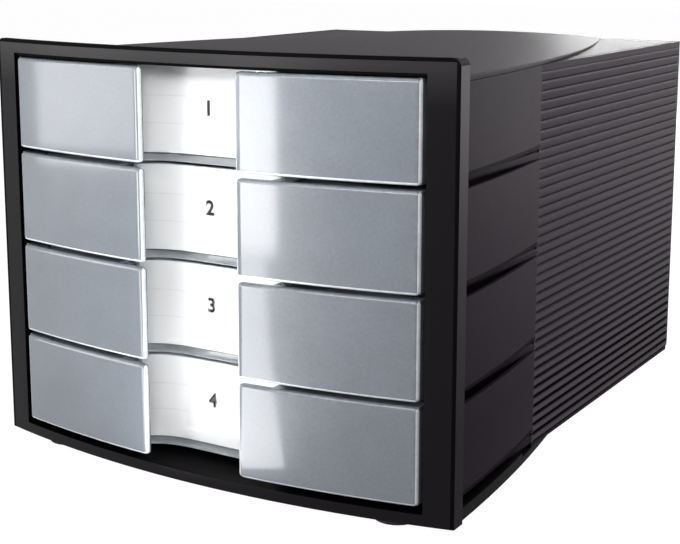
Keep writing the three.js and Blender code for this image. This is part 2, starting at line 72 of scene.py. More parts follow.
def add(tree, kind, inputs=None, **settings):
    """Adds a node to a tree. An input that is a socket is linked, and any other one is set."""
    made = tree.nodes.new(kind)
    for name, value in settings.items():
        setattr(made, name, value)
    for name, value in (inputs or {}).items():
        if isinstance(value, bpy.types.NodeSocket):
            tree.links.new(value, made.inputs[name])
        else:
            made.inputs[name].default_value = value
    return made


# Sizes and colours that a user would change

def length(name, description, default):
    return FloatProperty(
        name=name, description=description, default=default, unit="LENGTH", subtype="DISTANCE", precision=4)


def colour(name, description, code):
    return FloatVectorProperty(
        name=name, description=description, default=linear(code), size=4, subtype="COLOR", min=0, max=1)


def power(name, description, default):
    return FloatProperty(name=name, description=description, default=default, min=0, unit="POWER")


class DrawerUnitSizes(bpy.types.PropertyGroup):
    width: length("Width", "Outer width of the front frame", 294 * MM)
    depth: length("Depth", "Depth from the middle of the bow to the back", 368 * MM)
    height: length("Height", "Height from the table to the top of the frame", 235 * MM)
    bow_rise: length("Bow", "How far the middle of the front stands before its corners", 18 * MM)
    frame_edge: length("Frame edge", "Radius of the frame's edges", 0.9 * MM)
    wing_edge: length("Wing edge", "Height of the rounded edge above and below a wing", 2.1 * MM)
    grip_edge: length("Grip edge", "Width of the rounded edge beside the label", 4 * MM)
    outer_edge: length("Outer edge", "Width of the rounded edge beside the frame", 2.6 * MM)
    edge_drop: length("Edge drop", "How far a wing's face falls back at its rim", 2.2 * MM)
    ridge_depth: length("Ridge depth", "Height of the ridges on the sides", 1.1 * MM)
    ridge_fade: length("Ridge fade", "Length over which a ridge rises at its front end", 5 * MM)
    ridge_steps: IntProperty(name="Ridge steps", description="Steps round one ridge", default=10, min=4)


class DrawerUnitColours(bpy.types.PropertyGroup):
    housing: colour("Housing", "Anthracite of the moulded housing", "#1e171f")
    frame: colour("Frame", "Near black of the front frame", "#0a070b")
    # Painted shade: this near black stands for the shade inside the housing, in the opening and round the
    # frame's outer edges.
    inside: colour("Inside", "Black of the inside and of the frame's outer edges", "#050405")
    frosted: colour("Frosted fronts", "Pale blue grey of the frosted fronts", "#5d646d")
    # Painted highlight: this pale grey stands for the light that the clear rims catch.
    rim: colour("Rims", "Pale grey of the polished rims of the fronts", "#dadfe5")
    wall: colour("Walls", "Grey of the clear walls behind the fronts", "#6b7178")
    lip: colour("Lips", "Milky grey of the thick lips under the covers", "#cfd4d9")
    clear: colour("Clear covers", "Tint of the clear covers", "#fdfefe")
    tray: colour("Trays", "Grey of the trays", "#aab1b8")
    card: colour("Label cards", "White of the label cards", "#f5f6f7")
    print: colour("Print", "Near black of the numbers on the cards", "#0c0c0e")
    rubber: colour("Feet", "Black of the rubber feet", "#161618")


class DrawerUnitStage(bpy.types.PropertyGroup):
    backdrop: colour("Backdrop", "Colour of the floor and of the world", "#ffffff")
    floor: colour("Floor", "How much light the floor throws back on the unit", "#7c7c7c")
    floor_size: length("Floor size", "Side of the square floor", 12.0)
    key_power: power("Key", "Power of the large light above", 4)
    fill_power: power("Fill", "Power of the light at the front right", 10)
    left_power: power("Left", "Power of the light at the front left", 5.6)
    strip_power: power("Strip", "Power of the small upright light close to the front", 0.98)
    bar_power: power("Bar", "Power of the slim light above the front", 0.33)
    side_power: power("Side", "Power of the long light beside the right side", 0.8)
    right_power: power("Right", "Power of the low light behind at the right", 3.6)
    floor_power: power("Floor strip", "Power of the flat light in front of the unit", 0.82)
    rear_power: power("Rear", "Power of the low light behind at the left", 10)
    high_power: power("High rear", "Power of the raised light behind", 10)
    world_light: FloatProperty(
        name="World", description="Strength of the world on the object", default=0.13, min=0)


def sizes():
    return bpy.context.scene.drawer_unit_sizes


def colours():
    return bpy.context.scene.drawer_unit_colours


# Finishes

MIX_FACTOR, MIX_A, MIX_B, MIX_RESULT = 0, 6, 7, 2
FLOAT_MIX_A, FLOAT_MIX_B = 2, 3
ABS_IOR = 1.54
POLYSTYRENE_IOR = 1.59
BODY_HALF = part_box("rear_panel")[1].x + 4.3 * MM
# Painted shade and painted highlight of the ridges, as factors on the housing colour, first in the groove and
# then on the crest: low down the grooves are painted dark and the crests light, high up the grooves are
# painted lighter than the crests
LOW_SHADE_TONES = (0.05, 2.5)
HIGH_SHADE_TONES = (1.6, 0.85)
CREST_SHARPNESS = 14.0
RIDGE_PAINTED_SHEEN = 0.025
GUIDE_LINES = (18.5 * MM, 33.5 * MM)
GUIDE_LINE_HALF = 0.15 * MM
GUIDE_LINE_TONE = 0.84


def grained(name, tint, spread, cloud, grain, roughness, height, more=None):
    """A finish whose colour clouds slowly about a tint, under a fine grain in its colour, gloss and height.

    More holds the shader's other inputs. Gives back the shader's node.
    """
    made = bpy.data.materials.new(name)
    made.use_nodes = True
    tree = made.node_tree
    tree.nodes.clear()
    place = add(tree, "ShaderNodeTexCoord").outputs["Object"]
    clouds = add(tree, "ShaderNodeTexNoise", {
        "Vector": place, "Scale": 1 / cloud, "Detail": 3.0}).outputs["Fac"]
    grains = add(tree, "ShaderNodeTexNoise", {
        "Vector": place, "Scale": 1 / grain, "Detail": 2.0, "Roughness": 0.6}).outputs["Fac"]
    tone = add(tree, "ShaderNodeMath", {0: clouds, 1: grains}, operation="ADD").outputs[0]
    share = add(tree, "ShaderNodeMapRange", {
        "Value": tone, "From Min": 0.6, "From Max": 1.4}).outputs["Result"]
    dark, light = ([min(1.0, c * (1 + way * spread)) for c in tint[:3]] + [1.0] for way in (-1, 1))
    base = add(tree, "ShaderNodeMix", {
        MIX_FACTOR: share, MIX_A: dark, MIX_B: light}, data_type="RGBA").outputs[MIX_RESULT]
    gloss = add(tree, "ShaderNodeMapRange", {
        "Value": grains, "From Min": 0.3, "From Max": 0.7, "To Min": roughness[0], "To Max": roughness[1]})
    relief = add(tree, "ShaderNodeBump", {"Height": grains, "Strength": 0.3, "Distance": height})
    shader = add(tree, "ShaderNodeBsdfPrincipled", {
        "Base Color": base, "Roughness": gloss.outputs["Result"], "Normal": relief.outputs["Normal"],
        **(more or {})})
    add(tree, "ShaderNodeOutputMaterial", {"Surface": shader.outputs["BSDF"]})
    return shader


def by_height(tree, low, high, first, second):
    """A value that goes from the first to the second between two heights above the table."""
    place = add(tree, "ShaderNodeTexCoord").outputs["Object"]
    height = add(tree, "ShaderNodeSeparateXYZ", {"Vector": place}).outputs["Z"]
    return add(tree, "ShaderNodeMapRange", {
        "Value": height, "From Min": low, "From Max": high,
        "To Min": first, "To Max": second}).outputs["Result"]


def housing_abs(name, tint, roughness, relief=0.05 * MM):
    """ABS in the housing's grain, about 0.1 mm wide in life and drawn at 0.6 mm, so that it still shows."""
    return grained(name, tint, 0.12, 60 * MM, 0.6 * MM, roughness, relief, {"IOR": ABS_IOR})


def mirror_by_height(shader, low, high, first, second):
    """Lets a finish mirror more, or less, the higher it stands above the table, as a painted sheen that
    follows the height.
    """
    tree = shader.id_data
    tree.links.new(by_height(tree, low, high, first, second), shader.inputs["Specular IOR Level"])


def moulded_abs():
    """Injection moulded ABS from a spark eroded mould: an even satin grain with broad, soft highlights."""
    shader = housing_abs("moulded_abs", colours().housing, (0.46, 0.6))
    # Painted sheen: the gloss grows with the height, so that the upper part of the sides reads lighter, as
    # where the light falls from above.
    mirror_by_height(shader, 0.05, 0.19, 0.009, 0.025)


def matt_abs():
    """The front frame's ABS, from a deeper eroded mould, so it is darker than the housing."""
    shader = housing_abs("matt_abs", colours().frame, (0.32, 0.44))
    # Painted sheen: the top rail mirrors more than the rest, so that it reads lighter than the stiles, as
    # where the light falls from above.
    mirror_by_height(shader, sizes().height - 24 * MM, sizes().height - 4 * MM, 0.08, 0.22)


def satin_abs():
    """The frame's side returns, off a smoother face of the mould, so that they mirror the side light."""
    shader = housing_abs("satin_abs", colours().housing, (0.36, 0.48), 0.04 * MM)
    # Painted sheen: the side returns mirror more towards the top, so that they read lighter at the top than at
    # the bottom.
    mirror_by_height(shader, 0.05, 0.19, 0.015, 0.06)


def ridged_abs():
    """The ridged sides: a painted highlight on the crests and painted shade in the grooves, more so towards
    the table, with a painted sheen that follows them.
    """
    shader = housing_abs("ridged_abs", colours().housing, (0.46, 0.6))
    tree = shader.id_data
    place = add(tree, "ShaderNodeTexCoord").outputs["Object"]
    across = add(tree, "ShaderNodeSeparateXYZ", {"Vector": place}).outputs["X"]
    out = add(tree, "ShaderNodeMath", {0: across}, operation="ABSOLUTE").outputs[0]
    share = add(tree, "ShaderNodeMapRange", {
        "Value": out, "From Min": BODY_HALF - sizes().ridge_depth, "From Max": BODY_HALF}).outputs["Result"]
    narrow = add(tree, "ShaderNodeMath", {0: share, 1: CREST_SHARPNESS}, operation="POWER").outputs[0]
    low, high = (add(tree, "ShaderNodeMapRange", {
        "Value": narrow, "To Min": groove, "To Max": crest}).outputs["Result"]
        for groove, crest in (LOW_SHADE_TONES, HIGH_SHADE_TONES))
    # Painted shade and highlight: the colour is darkened in the grooves and lightened on the crests, by depth
    # and by height.
    tone = add(tree, "ShaderNodeMix", {
        MIX_FACTOR: by_height(tree, 0.04, 0.2, 0.0, 1.0), FLOAT_MIX_A: low, FLOAT_MIX_B: high,
    }, data_type="FLOAT").outputs[0]
    base = shader.inputs["Base Color"].links[0].from_socket
    shaded_base = add(tree, "ShaderNodeVectorMath", {0: base, "Scale": tone}, operation="SCALE").outputs["Vector"]
    tree.links.new(shaded_base, shader.inputs["Base Color"])
    # Painted sheen: the gloss follows the same painted tone.
    gloss = add(tree, "ShaderNodeMath", {0: tone, 1: RIDGE_PAINTED_SHEEN}, operation="MULTIPLY").outputs[0]
    tree.links.new(gloss, shader.inputs["Specular IOR Level"])


def deep_abs():
    """The same plastic nearly black, as painted shade inside the housing, in the opening and round the frame's
    outer edges.
    """
    housing_abs("deep_abs", colours().inside, (0.5, 0.6)).inputs["Specular IOR Level"].default_value = 0.02


def frosted_polystyrene():
    """Polystyrene etched on its inner face: milky and pale, under an outer skin that mirrors lamps softly."""
    # The etching is finer than 0.1 mm and is drawn at 1.4 mm, as the mottling that it leaves in a photo.
    grained("frosted_polystyrene", colours().frosted, 0.16, 30 * MM, 1.4 * MM, (0.3, 0.42), 0.03 * MM, {
        "IOR": POLYSTYRENE_IOR, "Coat Weight": 0.85, "Coat Roughness": 0.1, "Coat IOR": 1.55})


def polished_polystyrene():
    """The polished rims of the fronts: the same plastic without the etching, with sharp thin highlights, and a
    pale colour that is a painted highlight along the rims.
    """
    grained("polished_polystyrene", colours().rim, 0.15, 9 * MM, 3 * MM, (0.14, 0.24), 0.01 * MM, {
        "IOR": POLYSTYRENE_IOR, "Coat Weight": 0.25, "Coat Roughness": 0.08})


def wall_polystyrene():
    """The walls behind the fronts: clear plastic over the dark inside, so a darker, glossy grey."""
    grained("wall_polystyrene", colours().wall, 0.2, 9 * MM, 3 * MM, (0.08, 0.16), 0.01 * MM, {
        "IOR": POLYSTYRENE_IOR, "Coat Weight": 0.5, "Coat Roughness": 0.04})


def clear_polystyrene():
    """Clear moulded polystyrene: glassy, with the slight waviness that thin mouldings have."""
    grained("clear_polystyrene", colours().clear, 0.01, 20 * MM, 12 * MM, (0.02, 0.06), 0.05 * MM, {
        "IOR": POLYSTYRENE_IOR, "Transmission Weight": 1.0, "Alpha": 0.1})


def lip_polystyrene():
    """The thick lip under a cover: clear plastic that gathers the card's light to a milky grey."""
    grained("lip_polystyrene", colours().lip, 0.1, 12 * MM, 4 * MM, (0.06, 0.12), 0.02 * MM, {
        "IOR": POLYSTYRENE_IOR, "Transmission Weight": 0.5})


def label_paper():
    """Smooth white card with a faint fibre, which two thin grey guide lines cross."""
    shader = grained("label_paper", colours().card, 0.02, 8 * MM, 0.7 * MM, (0.75, 0.85), 0.03 * MM)
    tree = shader.id_data
    place = add(tree, "ShaderNodeTexCoord").outputs["Object"]
    height = add(tree, "ShaderNodeSeparateXYZ", {"Vector": place}).outputs["Z"]
    start = add(tree, "ShaderNodeMath", {0: height, 1: level_low(4)}, operation="SUBTRACT").outputs[0]
    within = add(tree, "ShaderNodeMath", {
        0: start, 1: level_low(3) - level_low(4)}, operation="FLOORED_MODULO").outputs[0]
    paper = shader.inputs["Base Color"].links[0].from_socket
    grey = [c * GUIDE_LINE_TONE for c in colours().card[:3]] + [1.0]
    for line in GUIDE_LINES:
        away = add(tree, "ShaderNodeMath", {
            0: within, 1: line, 2: GUIDE_LINE_HALF}, operation="COMPARE").outputs[0]
        paper = add(tree, "ShaderNodeMix", {
            MIX_FACTOR: away, MIX_A: paper, MIX_B: grey}, data_type="RGBA").outputs[MIX_RESULT]
    tree.links.new(paper, shader.inputs["Base Color"])


def printed_ink():
    """Matt black ink, with the slight unevenness of print on card."""
    grained("printed_ink", colours().print, 0.3, 3 * MM, 0.4 * MM, (0.6, 0.75), 0.01 * MM, {
        "Specular IOR Level": 0.05})


def tray_polystyrene():
    """Moulded polystyrene of the trays: plain grey, smooth, with a soft gloss and faint flow marks."""
    grained("tray_polystyrene", colours().tray, 0.06, 40 * MM, 0.7 * MM, (0.3, 0.42), 0.04 * MM, {
        "IOR": POLYSTYRENE_IOR})


def foot_rubber():
    """Black moulded rubber: matt, dusty and without a clear highlight."""
    grained("foot_rubber", colours().rubber, 0.4, 6 * MM, 1 * MM, (0.8, 0.9), 0.1 * MM)


FINISHES = {maker.__name__: maker for maker in (
    moulded_abs, matt_abs, satin_abs, ridged_abs, deep_abs, frosted_polystyrene, polished_polystyrene,
    wall_polystyrene, clear_polystyrene, lip_polystyrene, label_paper, printed_ink, tray_polystyrene,
    foot_rubber)}


def finish(name):
    """The finish of that name, made at its first use."""
    if name not in bpy.data.materials:
        FINISHES[name]()
    return bpy.data.materials[name]


# Places worked out from the sizes and the frame

def bow_y(x, inset=0.0):
    """Place on the bow of the front, moved back by an inset."""
    s = sizes()
    half = s.width / 2
    radius = (half ** 2 + s.bow_rise ** 2) / (2 * s.bow_rise)
    return radius - s.depth / 2 - math.sqrt((radius - inset) ** 2 - x ** 2)


def corner_y():
    return sizes().bow_rise - sizes().depth / 2


def level_low(level):
    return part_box(f"drawer_{level}_front")[0].z


LEAF_FRONT_HALF = 146 * MM
LEAF_NARROWING = 66.5 * MM
LEAF_RISE = 13.7 * MM
HOUSING_FRONT_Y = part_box("side_wall_right")[0].y
REAR_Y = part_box("side_wall_right")[1].y
LABEL_HALF = 47.5 * MM
LABEL_DEPTH = 8.6 * MM
LABEL_SWEEP = 10.2 * MM
LABEL_POWER = 5.3


def leaf_arc():
    """Centre and radius of the arc that the right edge of the leaf outline follows."""
    start = Vector((LEAF_FRONT_HALF, HOUSING_FRONT_Y - 0.3 * MM))
    end = Vector((LEAF_FRONT_HALF - LEAF_NARROWING, REAR_Y))
    chord = end - start
    radius = (chord.length ** 2 / 4 + LEAF_RISE ** 2) / (2 * LEAF_RISE)
    inward = Vector((-chord.y, chord.x)).normalized()
    return (start + end) / 2 + inward * (radius - LEAF_RISE), radius


def leaf_x(y, inset=0.0):
    centre, radius = leaf_arc()
    return centre.x + math.sqrt((radius - inset) ** 2 - (y - centre.y) ** 2)


def leaf_y(x, inset=0.0):
    centre, radius = leaf_arc()
    return centre.y + math.sqrt((radius - inset) ** 2 - (x - centre.x) ** 2)


def label_y(x, setback):
    """Plan curve of the label, flat in the middle and sweeping forward at its ends."""
    share = min(1.0, abs(x) / LABEL_HALF)
    return corner_y() + LABEL_DEPTH + setback - LABEL_SWEEP * share ** LABEL_POWER


def steps(low, high, count):
    return [low + (high - low) * i / count for i in range(count + 1)]


# Mesh tools

def prism(bm, outline, low, high):
    """Closed solid that raises a plan outline from one height to another."""
    rings = [[bm.verts.new((x, y, z)) for x, y in outline] for z in (low, high)]
    bm.faces.new(rings[0])
    bm.faces.new(rings[1])
    bridge(bm, rings)


def block(bm, x0, x1, y0, y1, z0, z1):
    prism(bm, [(x0, y0), (x1, y0), (x1, y1), (x0, y1)], z0, z1)


def bridge(bm, rings, closed=True):
    """Quads between rings of equal count."""
    made = []
    for near, far in zip(rings, rings[1:]):
        count = len(near)
        for i in range(count if closed else count - 1):
            j = (i + 1) % count
            made.append(bm.faces.new((near[i], near[j], far[j], far[i])))
    return made


def loft(bm, loops):
    """Closed solid through rings of points, with its two ends capped."""
    rings = [[bm.verts.new(p) for p in loop] for loop in loops]
    bm.faces.new(rings[0])
    bm.faces.new(rings[-1])
    bridge(bm, rings)


def paint_since(bm, start, index):
    """Gives the faces made since a count of faces the finish of that index."""
    for face in list(bm.faces)[start:]:
        face.material_index = index


def piece(name, bm, body, materials, nodes=(), bevel=0.0, segments=3):
    """Turns a bmesh into a finished piece that rides on a body and stands for CAD nodes."""
    bmesh.ops.recalc_face_normals(bm, faces=bm.faces)
    mesh = bpy.data.meshes.new(name)
    bm.to_mesh(mesh)
    bm.free()
    obj = bpy.data.objects.new(name, mesh)
    bpy.context.scene.collection.objects.link(obj)
    for material in materials:
        mesh.materials.append(finish(material))
    if bevel:
        rounded = obj.modifiers.new("Rounded edges", "BEVEL")
        rounded.width = bevel
        rounded.segments = segments
        rounded.limit_method = "ANGLE"
        rounded.angle_limit = SMOOTH_ANGLE
    return settle(obj, body, nodes)


def settle(obj, body, nodes=()):
    """Applies a piece's modifiers, smooths it and ties it to its body and CAD nodes."""
    evaluated = obj.evaluated_get(bpy.context.evaluated_depsgraph_get())
    mesh = bpy.data.meshes.new_from_object(evaluated)
    obj.modifiers.clear()
    obj.data = mesh
    mesh.name = obj.name
    mesh.polygons.foreach_set("use_smooth", [True] * len(mesh.polygons))
    mesh.set_sharp_from_angle(angle=SMOOTH_ANGLE)
    flat = obj.modifiers.new("Flat faces stay flat", "WEIGHTED_NORMAL")
    flat.keep_sharp = True
    evaluated = obj.evaluated_get(bpy.context.evaluated_depsgraph_get())
    mesh = bpy.data.meshes.new_from_object(evaluated)
    obj.modifiers.clear()
    obj.data = mesh
    mesh.name = obj.name
    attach(obj, body)
    if nodes:
        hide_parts(*nodes)
    return obj


def cad_form(node):
    """A bmesh of a CAD node with its doubles merged and its flat faces joined."""
    bm = bmesh.new()
    bm.from_mesh(frame["nodes"][node].data)
    bmesh.ops.remove_doubles(bm, verts=bm.verts, dist=0.002 * MM)
    bmesh.ops.dissolve_limit(
        bm, angle_limit=math.radians(0.35), verts=bm.verts, edges=bm.edges, delimit={"NORMAL"})
    return bm


# Operators, one for each piece or group of like pieces

# Width of the band round the frame's outer edges that is painted shade black.
EDGE_LINE = 2 * MM
# Heights of the lip over the drawer front, its places behind the bow, and its end past the front
RAIL_LIP_LOW, RAIL_LIP_HIGH = 0.8 * MM, 3 * MM
RAIL_LIP_NEAR, RAIL_LIP_FAR = 1 * MM, 3.3 * MM
RAIL_LIP_END = 4 * MM
RAIL_LIP_STEPS = 24
# How squarely a face of the frame looks to one side, forward or back, and how far an edge leans
SIDEWAYS, FORWARD, BACKWARD, LEANING = 0.99, -0.94, 0.9, 0.2


class DRAWERUNIT_OT_frame(bpy.types.Operator):
    """Builds the bowed front frame with rounded edges"""

    bl_idname = "drawerunit.frame"
    bl_label = "Front frame"

    def execute(self, context):
        s = sizes()
        bm = cad_form("front_frame")
        # The cuts mark off the outer edge bands that take the painted shade black.
        for place, direction in (((s.width / 2 - EDGE_LINE, 0, 0), (1, 0, 0)),
                                 ((EDGE_LINE - s.width / 2, 0, 0), (-1, 0, 0)),
                                 ((0, 0, s.height - EDGE_LINE), (0, 0, 1))):
            bmesh.ops.bisect_plane(
                bm, geom=bm.verts[:] + bm.edges[:] + bm.faces[:], plane_co=place, plane_no=direction)
        made = piece("bowed_frame", bm, "housing",
                     ["matt_abs", "satin_abs", "deep_abs"], ["front_frame"], bevel=s.frame_edge)
        for face in made.data.polygons:
            face.material_index = self.plastic(face.center, face.normal)
        self.rail_lip()
        return {"FINISHED"}

    def rail_lip(self):
        """Strip behind the top rail that hides the slit between the rail and the top plate, in the painted
        shade black.
        """
        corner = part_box("drawer_1_front")[1]
        low, high = corner.z + RAIL_LIP_LOW, corner.z + RAIL_LIP_HIGH
        half = corner.x + RAIL_LIP_END
        section = [(RAIL_LIP_NEAR, low), (RAIL_LIP_FAR, low), (RAIL_LIP_FAR, high), (RAIL_LIP_NEAR, high)]
        bm = bmesh.new()
        loft(bm, [[(x, bow_y(x, back), z) for back, z in section] for x in steps(-half, half, RAIL_LIP_STEPS)])
        piece("rail_lip", bm, "housing", ["deep_abs"])

    def plastic(self, centre, normal):
        """0 for the front and the back, 1 for the side returns, 2 for the outer edges and the reveal, which
        are painted shade black.
        """
        s = sizes()
        if abs(centre.x) > s.width / 2 - EDGE_LINE or centre.z > s.height - EDGE_LINE:
            return 1 if abs(normal.x) > SIDEWAYS else 2
        if normal.y < FORWARD or normal.y > BACKWARD:
            return 0
        bottom_rail_edge = normal.z > LEANING and normal.y < -LEANING
        underside = centre.z < 2 * s.frame_edge
        return 0 if bottom_rail_edge or underside else 2


PLATE_RISE = 3 * MM
PLATE_REAR_STEP = 0.7 * MM
PLATE_EDGE = 1.1 * MM
PLATE_EDGE_GAP = 0.05 * MM
PLATE_EDGE_STEPS = 4
PLATE_SEAT = 0.3 * MM
PLATE_COLUMNS, PLATE_ROWS = 40, 60
TONGUE_HALF = 144.3 * MM
TONGUE_BACK = 3.7 * MM
TONGUE_THICKNESS = 0.9 * MM
TONGUE_STEPS = 48


class DRAWERUNIT_OT_top(bpy.types.Operator):
    """Builds the crowned top plate and the parts under it"""

    bl_idname = "drawerunit.top"
    bl_label = "Top plate"

    def execute(self, context):
        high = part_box("top_plate")[1]
        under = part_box("side_wall_right")[1].z + PLATE_SEAT
        bm = bmesh.new()
        loops = []
        for y in steps(HOUSING_FRONT_Y, REAR_Y, PLATE_ROWS):
            along = (y - HOUSING_FRONT_Y) / (REAR_Y - HOUSING_FRONT_Y)
            half = leaf_x(y)
            top = []
            for share in steps(-1, 1, PLATE_COLUMNS):
                inner = half - PLATE_EDGE
                z = high.z - (PLATE_RISE - PLATE_REAR_STEP) * along * share ** 2
                top.append((share * inner, y, z))
            edge = min(PLATE_EDGE, top[0][2] - under - PLATE_EDGE_GAP)
            left, right = [], []
            for i in range(1, PLATE_EDGE_STEPS + 1):
                angle = math.radians(90 * i / PLATE_EDGE_STEPS)
                out = PLATE_EDGE * math.sin(angle)
                drop = edge * (1 - math.cos(angle))
                right.append((half - PLATE_EDGE + out, y, top[-1][2] - drop))
                left.append((-half + PLATE_EDGE - out, y, top[0][2] - drop))
            loops.append(list(reversed(left)) + top + right + [(half, y, under), (-half, y, under)])
        loft(bm, loops)
        tongue_front = [(x, bow_y(x, TONGUE_BACK)) for x in steps(-TONGUE_HALF, TONGUE_HALF, TONGUE_STEPS)]
        prism(bm, tongue_front + [(TONGUE_HALF, HOUSING_FRONT_Y), (-TONGUE_HALF, HOUSING_FRONT_Y)],
              high.z - TONGUE_THICKNESS, high.z)
        piece("crowned_top", bm, "housing", ["moulded_abs"], ["top_plate"])
        # The base plate takes the painted shade black, for the dark void under the lowest drawer.
        for name, material in (
                ("top_deck", "moulded_abs"), ("rear_panel", "moulded_abs"), ("base_plate", "deep_abs")):
            piece(f"{name}_moulding", cad_form(name), "housing", [material], [name],
                  bevel=0.3 * MM, segments=2)
        return {"FINISHED"}


SHEET_DEPTH = 0.6 * MM
SHEET_COLUMNS = 24
RIDGE_FRONT_LAP = 1 * MM
RIDGE_REAR_GAP = 3 * MM
RIB_HEIGHT = 4.2 * MM
RIB_DROP = 1.7 * MM
RIDGES_PER_LEVEL = 10
WALL_INNER_X = 133 * MM
WALL_CORE = 1.8 * MM
FLARE_SKIN = 2 * MM
FLARE_FLOOR = 2 * MM
LEDGE = 2 * MM
LEDGE_WIDTH = 2.5 * MM
LEDGE_ROOT = 1 * MM
LEDGE_GAP = 0.3 * MM
DECK_THICKNESS = 2.1 * MM
WALL_CHAMFER = 4 * MM
PLANK_INSET = 0.3 * MM
REAR_STRIP_INSET = 0.8 * MM
PANEL_LAP = 0.6 * MM
RIDGE_SHARPNESS = 2.6
PANEL_LIFT = 2 * MM
PANEL_STEPS = 24
RIB_CREST_SHARE, RIB_CREST_STEPS = 1.4, 28


def ridge_drop(share):
    """How far a ridge lies below its crest, at a share of the way across it."""
    return sizes().ridge_depth * (1 - abs(math.sin(math.pi * share))) ** RIDGE_SHARPNESS


def group_tree(name, **inputs):
    """A Geometry Nodes tree and its named inputs, which come as lists of names for each type of socket."""
    tree = bpy.data.node_groups.new(name, "GeometryNodeTree")
    for kind, names in inputs.items():
        for socket in names:
            tree.interface.new_socket(socket, in_out="INPUT", socket_type=f"NodeSocket{kind}")
    tree.interface.new_socket("Geometry", in_out="OUTPUT", socket_type="NodeSocketGeometry")
    return tree, {socket.name: socket for socket in add(tree, "NodeGroupInput").outputs}


def close_tree(tree, geometry, material):
    """Ends a tree: its instances are made real and painted."""
    real = add(tree, "GeometryNodeRealizeInstances", {"Geometry": geometry}).outputs[0]
    painted = add(tree, "GeometryNodeSetMaterial", {"Geometry": real, "Material": material}).outputs[0]
    add(tree, "NodeGroupOutput", {"Geometry": painted})
    return tree


def ridge_tree():
    """Geometry Nodes that raise a row of long ridges from one of two like sheets."""
    tree, given = group_tree(
        "Ridged side", Int=("Ridges", "Steps"), Material=("Material",),
        Float=("Side", "Valley", "Depth", "Front", "Length", "Low", "Pitch", "Fade"))
    place = add(tree, "ShaderNodeSeparateXYZ", {
        "Vector": add(tree, "GeometryNodeInputPosition").outputs[0]}).outputs
    known = {**given, "X": place["X"], "Y": place["Y"]}
    # Each row names a result, how it is worked out, and from what. The level keeps the sheet as high as
    # the crests where a ridge has not risen yet.
    for name, operation, *terms in (
            ("rows", "MULTIPLY_ADD", "Ridges", "Steps", 1),
            ("across", "ADD", "X", 0.5),
            ("along", "POWER", "across", 2.0),
            ("run", "MULTIPLY", "along", "Length"),
            ("up", "ADD", "Y", 0.5),
            ("ridge", "MULTIPLY", "up", "Ridges"),
            ("turn", "MULTIPLY", "ridge", math.pi),
            ("swing", "SINE", "turn"),
            ("arch", "ABSOLUTE", "swing"),
            ("dip", "SUBTRACT", 1.0, "arch"),
            ("hollow", "POWER", "dip", RIDGE_SHARPNESS),
            ("wave", "SUBTRACT", 1.0, "hollow"),
            ("faded", "DIVIDE", "run", "Fade"),
            ("rise", "MINIMUM", "faded", 1.0),
            ("bend", "MULTIPLY", "rise", math.pi / 2),
            ("eased", "SINE", "bend"),
            ("level", "SUBTRACT", 1.0, "eased"),
            ("shape", "MULTIPLY_ADD", "wave", "eased", "level"),
            ("bulge", "MULTIPLY", "shape", "Depth"),
            ("face", "ADD", "Valley", "bulge"),
            ("back", "SUBTRACT", "Valley", SHEET_DEPTH),
            ("face x", "MULTIPLY", "face", "Side"),
            ("back x", "MULTIPLY", "back", "Side"),
            ("y", "ADD", "Front", "run"),
            ("z", "MULTIPLY_ADD", "ridge", "Pitch", "Low")):
        known[name] = add(tree, "ShaderNodeMath", {
            i: known.get(term, term) for i, term in enumerate(terms)}, operation=operation).outputs[0]
    sheet = add(tree, "GeometryNodeMeshGrid", {
        "Size X": 1.0, "Size Y": 1.0, "Vertices X": SHEET_COLUMNS, "Vertices Y": known["rows"],
    }).outputs["Mesh"]
    joined = add(tree, "GeometryNodeJoinGeometry")
    for x in ("back x", "face x"):
        spot = add(tree, "ShaderNodeCombineXYZ", {"X": known[x], "Y": known["y"], "Z": known["z"]}).outputs[0]
        laid = add(tree, "GeometryNodeSetPosition", {"Geometry": sheet, "Position": spot}).outputs["Geometry"]
        tree.links.new(laid, joined.inputs[0])
    return close_tree(tree, joined.outputs[0], given["Material"])


def grown(name, tree, values):
    """A plain mesh object from a Geometry Nodes tree and the values of its named inputs."""
    obj = bpy.data.objects.new(name, bpy.data.meshes.new(name))
    bpy.context.scene.collection.objects.link(obj)
    modifier = obj.modifiers.new(name, "NODES")
    modifier.node_group = tree
    for item in tree.interface.items_tree:
        if item.item_type == "SOCKET" and item.in_out == "INPUT":
            modifier[item.identifier] = values[item.name]
    evaluated = obj.evaluated_get(bpy.context.evaluated_depsgraph_get())
    mesh = bpy.data.meshes.new_from_object(evaluated)
    mesh.materials.clear()
    mesh.materials.append(values["Material"])
    mesh.polygons.foreach_set("material_index", [0] * len(mesh.polygons))
    obj.modifiers.clear()
    obj.data = mesh
    return obj


def close_rims(obj):
    """Joins the open rims of two like sheets with quads, so that they become one closed shell."""
    bm = bmesh.new()
    bm.from_mesh(obj.data)
    half = len(bm.verts) // 2
    bm.verts.ensure_lookup_table()
    rim = [e for e in bm.edges if e.is_boundary and e.verts[0].index < half]
    for edge in rim:
        a, b = (v.index for v in edge.verts)
        bm.faces.new((bm.verts[a], bm.verts[b], bm.verts[b + half], bm.verts[a + half]))
    bmesh.ops.recalc_face_normals(bm, faces=bm.faces)
    bm.to_mesh(obj.data)
    bm.free()


